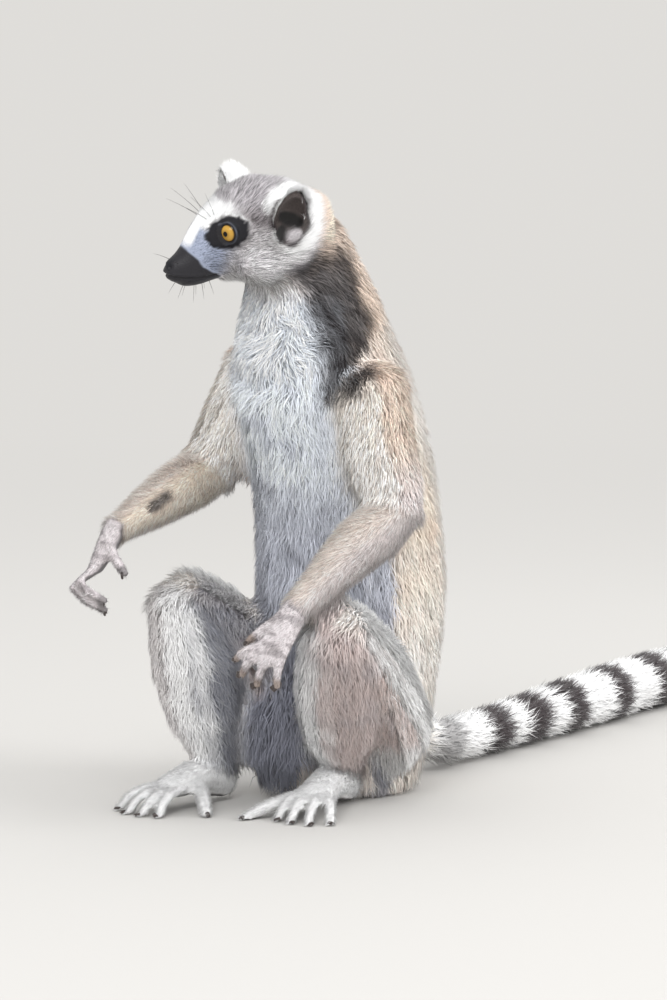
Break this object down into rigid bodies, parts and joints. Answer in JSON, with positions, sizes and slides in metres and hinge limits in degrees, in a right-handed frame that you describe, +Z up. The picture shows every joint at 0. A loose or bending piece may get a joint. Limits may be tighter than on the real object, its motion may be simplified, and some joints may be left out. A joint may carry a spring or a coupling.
{
  "type": "ring-tailed lemur",
  "caption": "Life-size still ring-tailed lemur sitting upright on its rump, knees up, arms held out, ringed tail laid on the floor behind.",
  "frame": {"origin": "middle of the flat under the rump, on the floor", "axes": "+Z up, -Y the way the body faces, +X the animal's left; the tail runs along +Y"},
  "size_m": [0.1694, 0.791, 0.389],
  "materials": {
    "grey_fur": "soft fur",
    "white_fur": "short soft fur",
    "face_fur": "short dense fur",
    "tail_fur": "long dense fur in rings",
    "bare_skin": "bare slate-black skin",
    "eye": "glossy amber"
  },
  "bodies": {
    "root": {"eye_left": "eye", "eye_right": "eye", "nose": "bare_skin", "head": "face_fur", "ear_left": "white_fur", "ear_right": "white_fur", "neck": "grey_fur", "chest": "grey_fur", "belly": "grey_fur", "tail_1": "tail_fur", "tail_2": "tail_fur", "tail_3": "tail_fur", "tail_4": "tail_fur", "tail_5": "tail_fur", "thigh_left": "grey_fur", "thigh_right": "grey_fur", "shank_left": "grey_fur", "shank_right": "grey_fur", "foot_left": "white_fur", "foot_right": "white_fur", "upper_arm_left": "grey_fur", "upper_arm_right": "grey_fur", "forearm_left": "grey_fur", "forearm_right": "grey_fur", "hand_left": "white_fur", "hand_right": "white_fur"}
  },
  "joints": []
}
